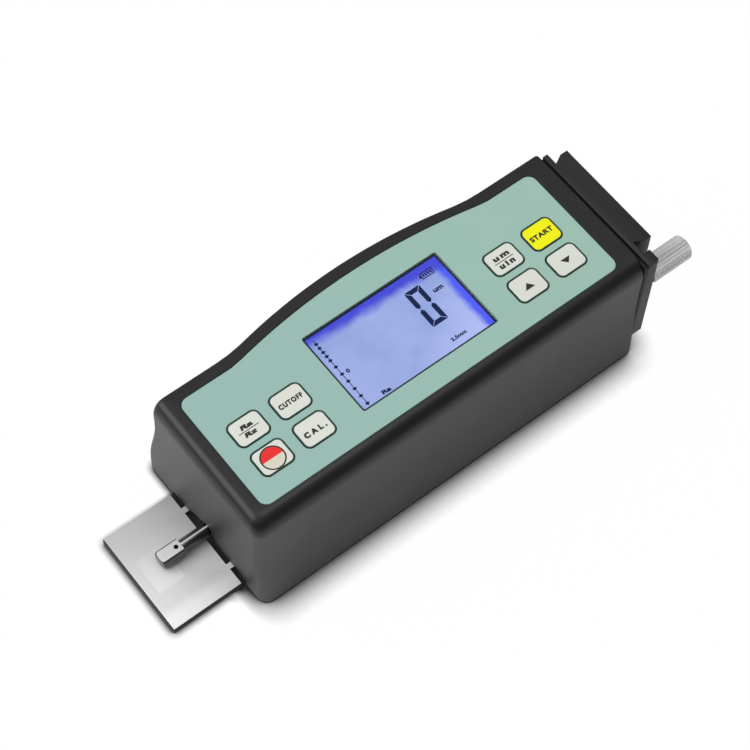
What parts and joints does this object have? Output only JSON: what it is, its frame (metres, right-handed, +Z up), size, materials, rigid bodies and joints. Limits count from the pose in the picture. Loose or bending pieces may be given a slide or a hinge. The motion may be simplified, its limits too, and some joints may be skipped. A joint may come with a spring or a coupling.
{
  "type": "surface roughness tester",
  "caption": "Handheld surface roughness tester with a key panel, a backlit display, a motor-driven stylus pickup over a specimen plate and a rear dovetail rail.",
  "frame": {"origin": "centre of the case's flat base", "axes": "+X from the pickup to the rear rail, +Y to the bulged far side, +Z up"},
  "size_m": [0.196, 0.058, 0.0481],
  "materials": {
    "case_plastic": "fine matt moulding",
    "end_plastic": "black satin",
    "panel_film": "satin printed film",
    "key_plastic": "smooth off-white",
    "start_plastic": "smooth yellow",
    "window_clear": "clear",
    "display_glass": "blue backlit",
    "diffuser": "white diffuser",
    "black_plastic": "black",
    "board": "green solder mask",
    "battery_wrap": "shrink wrap",
    "screw_steel": "plated",
    "drive_alloy": "machined",
    "shaft_steel": "ground",
    "gear_brass": "machined",
    "pickup_steel": "polished",
    "stylus_steel": "ground",
    "plate_steel": "finely ground",
    "foot_rubber": "matt",
    "knob_alloy": "knurled"
  },
  "bodies": {
    "case": {"lower_case": "case_plastic", "upper_cover": "case_plastic", "case_screws": "screw_steel", "front_panel": "panel_film", "lcd_window": "window_clear", "lcd_cell": "display_glass", "backlight": "diffuser", "lcd_frame": "black_plastic", "main_board": "board", "key_switches": "black_plastic", "board_chips": "black_plastic", "board_screws": "screw_steel", "battery_tray": "black_plastic", "battery_pack": "battery_wrap", "drive_frame": "drive_alloy", "frame_screws": "screw_steel", "guide_rod_near": "shaft_steel", "guide_rod_far": "shaft_steel", "front_bush": "gear_brass", "rear_bush": "gear_brass", "drive_motor": "shaft_steel", "motor_screws": "screw_steel", "limit_switches": "black_plastic", "specimen_plate": "plate_steel", "end_plate": "end_plastic", "rail_screws": "screw_steel"},
    "pickup": {"carriage": "drive_alloy", "lead_nut": "gear_brass", "pickup_socket": "pickup_steel", "pickup_tube": "pickup_steel", "skid_nose": "pickup_steel", "nose_screw": "screw_steel", "sensing_coil": "gear_brass", "pivot_pin": "shaft_steel"},
    "stylus": {"stylus_arm": "stylus_steel", "stylus_tip": "stylus_steel"},
    "screw": {"lead_screw": "shaft_steel", "screw_gear": "gear_brass"},
    "rotor": {"motor_shaft": "shaft_steel", "motor_pinion": "gear_brass"},
    "leg": {"leg_slider": "case_plastic", "leg_foot": "foot_rubber"},
    "knob": {"clamp_knob": "knob_alloy"},
    "button_parameter": {"key_parameter": "key_plastic"},
    "button_cutoff": {"key_cutoff": "key_plastic"},
    "button_power": {"key_power": "key_plastic"},
    "button_calibrate": {"key_calibrate": "key_plastic"},
    "button_unit": {"key_unit": "key_plastic"},
    "button_start": {"key_start": "start_plastic"},
    "button_up": {"key_up": "key_plastic"},
    "button_down": {"key_down": "key_plastic"}
  },
  "joints": [
    {"name": "lead_screw_spin", "type": "hinge", "parent": "case", "child": "screw", "pos_m": [-0.045, -0.0006, 0.014], "axis": [1, 0, 0], "range_deg": [0, 4500]},
    {"name": "pickup_traverse", "type": "slide", "parent": "case", "child": "pickup", "axis": [1, 0, 0], "range_m": [0, 0.0125]},
    {"name": "motor_spin", "type": "hinge", "parent": "case", "child": "rotor", "pos_m": [-0.02, 0.009, 0.014], "axis": [1, 0, 0], "range_deg": [-13500, 0]},
    {"name": "stylus_pivot", "type": "hinge", "parent": "pickup", "child": "stylus", "pos_m": [-0.0759, -0.0006, 0.0054], "axis": [0, 1, 0], "range_deg": [0, 1.5], "stiffness_Nm_per_rad": 0.0008, "springref_deg": -2.86},
    {"name": "leg_slide", "type": "slide", "parent": "case", "child": "leg", "axis": [0, 0, -1], "range_m": [0, 0.012]},
    {"name": "clamp_knob_spin", "type": "hinge", "parent": "leg", "child": "knob", "pos_m": [0.09, -0.018, 0.021], "axis": [1, 0, 0], "continuous": true},
    {"name": "parameter_press", "type": "slide", "parent": "case", "child": "button_parameter", "axis": [0, 0, -1], "range_m": [0, 0.0004], "stiffness_N_per_m": 2500, "springref_m": -0.0002},
    {"name": "cutoff_press", "type": "slide", "parent": "case", "child": "button_cutoff", "axis": [0, 0, -1], "range_m": [0, 0.0004], "stiffness_N_per_m": 2500, "springref_m": -0.0002},
    {"name": "power_press", "type": "slide", "parent": "case", "child": "button_power", "axis": [0, 0, -1], "range_m": [0, 0.0004], "stiffness_N_per_m": 2500, "springref_m": -0.0002},
    {"name": "calibrate_press", "type": "slide", "parent": "case", "child": "button_calibrate", "axis": [0, 0, -1], "range_m": [0, 0.0004], "stiffness_N_per_m": 2500, "springref_m": -0.0002},
    {"name": "unit_press", "type": "slide", "parent": "case", "child": "button_unit", "axis": [0, 0, -1], "range_m": [0, 0.0004], "stiffness_N_per_m": 2500, "springref_m": -0.0002},
    {"name": "start_press", "type": "slide", "parent": "case", "child": "button_start", "axis": [0, 0, -1], "range_m": [0, 0.0004], "stiffness_N_per_m": 2500, "springref_m": -0.0002},
    {"name": "up_press", "type": "slide", "parent": "case", "child": "button_up", "axis": [0, 0, -1], "range_m": [0, 0.0004], "stiffness_N_per_m": 2500, "springref_m": -0.0002},
    {"name": "down_press", "type": "slide", "parent": "case", "child": "button_down", "axis": [0, 0, -1], "range_m": [0, 0.0004], "stiffness_N_per_m": 2500, "springref_m": -0.0002}
  ],
  "couplings": [
    {"joint": "lead_screw_spin", "follows": "pickup_traverse", "rad_per_m": 6283.2},
    {"joint": "motor_spin", "follows": "pickup_traverse", "rad_per_m": -18850}
  ]
}
